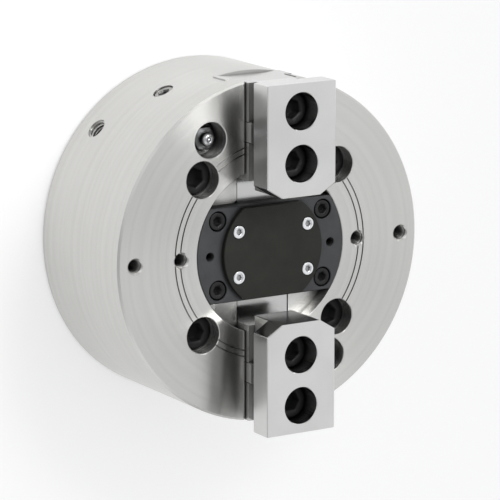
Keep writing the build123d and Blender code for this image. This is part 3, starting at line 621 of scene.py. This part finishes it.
# ---- grease nipples -------------------------------------------------------------------
NIPPLE_FLATS = 10.9
NIPPLE_SHANK_R = 2.95
NIPPLE_CORE_R = 0.82 * NIPPLE_SHANK_R
NIPPLE_PITCH = 1.0
NIPPLE_THREAD = (-5.4, -1.2)              # heights of its first and last turn above the seat
NIPPLE_TOP = 9.5
NIPPLE_RINGS = (                          # height above the seat, and radius
    (-6.0, 0.0), (-6.0, 0.7 * NIPPLE_SHANK_R), (-5.5, NIPPLE_CORE_R), (-0.9, NIPPLE_CORE_R),
    (-0.6, 0.9 * NIPPLE_SHANK_R), (0.0, 0.9 * NIPPLE_SHANK_R),
    # the hexagon, chamfered at both ends
    (0.0, 0.93 * NIPPLE_FLATS / 2), (0.35, hexagon(NIPPLE_FLATS)), (4.55, hexagon(NIPPLE_FLATS)),
    (5.0, 0.95 * NIPPLE_FLATS / 2),
    # the neck and the rounded head
    (5.0, 3.3), (5.3, 2.75), (5.9, 2.4), (6.5, 2.35), (6.7, 2.7), (6.95, 3.05), (7.3, 3.22),
    (7.8, 3.25), (8.3, 3.1), (8.8, 2.75), (9.2, 2.35), (9.42, 2.05), (NIPPLE_TOP, 1.85),
    # the ball's seat and the grease way under it
    (NIPPLE_TOP, 1.3), (9.42, 1.12), (9.2, 1.06), (8.0, 0.7), (4.0, 0.7), (4.0, 0.0),
)


def make_nipples():
    mesh = bmesh.new()
    for low, high in solids("grease_nipples"):
        centre = (low + high) / 2
        place = Matrix.Translation((centre.x, centre.y, high.z - NIPPLE_TOP * MM))
        turn(mesh, place, scaled(NIPPLE_RINGS))
        thread(mesh, place, NIPPLE_CORE_R * MM, NIPPLE_SHANK_R * MM, NIPPLE_PITCH * MM,
               *(height * MM for height in NIPPLE_THREAD))
    stand_for(mesh, "grease_nipples")


# ---- rim plugs ------------------------------------------------------------------------
PLUG_R = 5.0
PLUG_LENGTH = 9.0
PLUG_FLATS = 5.0
PLUG_PITCH = 1.0
PLUG_GAP = 0.03                           # room between the plug and its hole
PLUG_CORE_R = PLUG_R - 0.5 * PLUG_PITCH
PLUG_FACE_R = 81.9                        # from the spindle axis to the plug's outer end
PLUG_AT = (26.6, 37.2)                    # degrees from the jaws' direction, and height
PLUG_THREAD = (0.8 - PLUG_LENGTH, -1.5)
PLUG_RINGS = (                            # height above its outer end, and radius
    (0.0, 0.9 * PLUG_R), (-0.5, PLUG_R - PLUG_GAP), (-0.9, PLUG_R - PLUG_GAP),
    (-1.2, PLUG_CORE_R), (0.5 - PLUG_LENGTH, PLUG_CORE_R), (-PLUG_LENGTH, 0.85 * PLUG_CORE_R),
    (-PLUG_LENGTH, 0.0),
)


def rim_places(at, radius):
    """Frames on the rim, one for each of two opposite holes, with z pointing out."""
    turned, height = at
    places = []
    for half in (0, pi):
        angle = radians(90 + turned) + half
        out = Vector((cos(angle), sin(angle), 0))
        places.append(Matrix.Translation((out * radius + Vector((0, 0, height))) * MM)
                      @ out.to_track_quat("Z", "Y").to_matrix().to_4x4())
    return places


def make_plugs():
    mesh = bmesh.new()
    for place in rim_places(PLUG_AT, PLUG_FACE_R):
        turn(mesh, place, socket_rings(0, 0.5 * PLUG_LENGTH * MM, PLUG_FLATS * MM)
             + scaled(PLUG_RINGS))
        thread(mesh, place, PLUG_CORE_R * MM, (PLUG_R - PLUG_GAP) * MM, PLUG_PITCH * MM,
               *(height * MM for height in PLUG_THREAD))
    stand_for(mesh, "rim_plugs")


# ---- rear cover screws ----------------------------------------------------------------
COVER_HEAD_R = 4.9
COVER_HEAD_DEPTH = 2.8
COVER_SHANK_R = 2.1
COVER_LENGTH = 18.0
COVER_FLATS = 3.0
COVER_SOCKET = 2.0
COVER_PITCH = 0.8
COVER_CORE_R = COVER_SHANK_R - 0.5 * COVER_PITCH
COVER_THREAD = (0.8 - COVER_LENGTH, -1.6 * COVER_HEAD_DEPTH)
COVER_RINGS = (                           # height above the head's flat face, and radius
    (0.0, COVER_HEAD_R - 0.25), (-0.12, COVER_HEAD_R), (-0.35, COVER_HEAD_R - 0.05),
    (-COVER_HEAD_DEPTH, COVER_SHANK_R), (-1.4 * COVER_HEAD_DEPTH, COVER_SHANK_R),
    (-1.5 * COVER_HEAD_DEPTH, COVER_CORE_R), (0.5 - COVER_LENGTH, COVER_CORE_R),
    (-COVER_LENGTH, 0.8 * COVER_CORE_R), (-COVER_LENGTH, 0.0),
)


def make_rear_screws():
    mesh = bmesh.new()
    for low, high in solids("rear_cover_screws"):
        centre = (low + high) / 2
        place = Matrix.Translation((centre.x, centre.y, low.z)) @ Matrix.Rotation(pi, 4, "X")
        turn(mesh, place, socket_rings(0, COVER_SOCKET * MM, COVER_FLATS * MM)
             + scaled(COVER_RINGS))
        thread(mesh, place, COVER_CORE_R * MM, COVER_SHANK_R * MM, COVER_PITCH * MM,
               *(height * MM for height in COVER_THREAD))
    stand_for(mesh, "rear_cover_screws")


# ---- threads of tapped holes ----------------------------------------------------------
BODY_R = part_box("chuck_body")[1][0] / MM
LIFT_AT = (48.2, 16.7)                    # degrees from the jaws' direction, and height
LOCATOR_HOLES = (MOUNTS["inner_locator_holes"], MOUNTS["outer_locator_holes"])
LOCATORS = [side * holes["spacing_x_mm"] / 2 for holes in LOCATOR_HOLES for side in (1, -1)]
JACKS = (33.2, -33.2)                     # x of the holes in the centre plate
# radius, pitch and depths of the first and last turn
LOCATOR_THREAD = (LOCATOR_HOLES[0]["hole_r_mm"], 1.25, 0.9, 13.5)
LIFT_THREAD = (MOUNTS["lift_hole_a"]["r_mm"], 1.5, 1.2, 14.0)
JACK_THREAD = (2.1, 0.8, 0.5, 7.0)
NUT_THREAD = (MOUNTS["drawbar_thread"]["r_mm"], 2.5, 0.0, 12.2)
NUT_THREAD_TOP = 39.8                     # height of the nut's last turn
RIDGE_SHARE = 0.3                         # height of these ridges, as a share of the pitch


def upright(x, z):
    """Frame of a hole along the spindle axis, at y 0, with its mouth at height z."""
    return Matrix.Translation((x * MM, 0.0, z * MM))


def tapped(name, node, places, form):
    """Thread ridges in tapped holes. Each place is a hole's mouth, with z pointing out of it."""
    radius, pitch, first, last = form
    mesh = bmesh.new()
    for place in places:
        thread(mesh, place, radius * MM, (radius - RIDGE_SHARE * pitch) * MM, pitch * MM,
               -last * MM, -first * MM)
    show(mesh, name, node)


def make_threads():
    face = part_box("centre_plate")[1][2] / MM
    tapped("locator_hole_threads", "chuck_body", [upright(x, face) for x in LOCATORS],
           LOCATOR_THREAD)
    tapped("eyebolt_hole_threads", "chuck_body", rim_places(LIFT_AT, BODY_R), LIFT_THREAD)
    tapped("jacking_hole_threads", "centre_plate", [upright(x, face) for x in JACKS],
           JACK_THREAD)
    tapped("draw_nut_thread", "draw_nut", [upright(0, NUT_THREAD_TOP)], NUT_THREAD)


# ---- the scene ------------------------------------------------------------------------
bpy.context.scene.view_settings.view_transform = "Standard"
add_camera()
add_world()
add_floor()
add_light("key", **KEY_LAMP)
add_light("face_light", **FACE_LAMP)
MATERIALS = make_materials()
paint_nodes()
make_screws()
make_nipples()
make_plugs()
make_rear_screws()
make_threads()
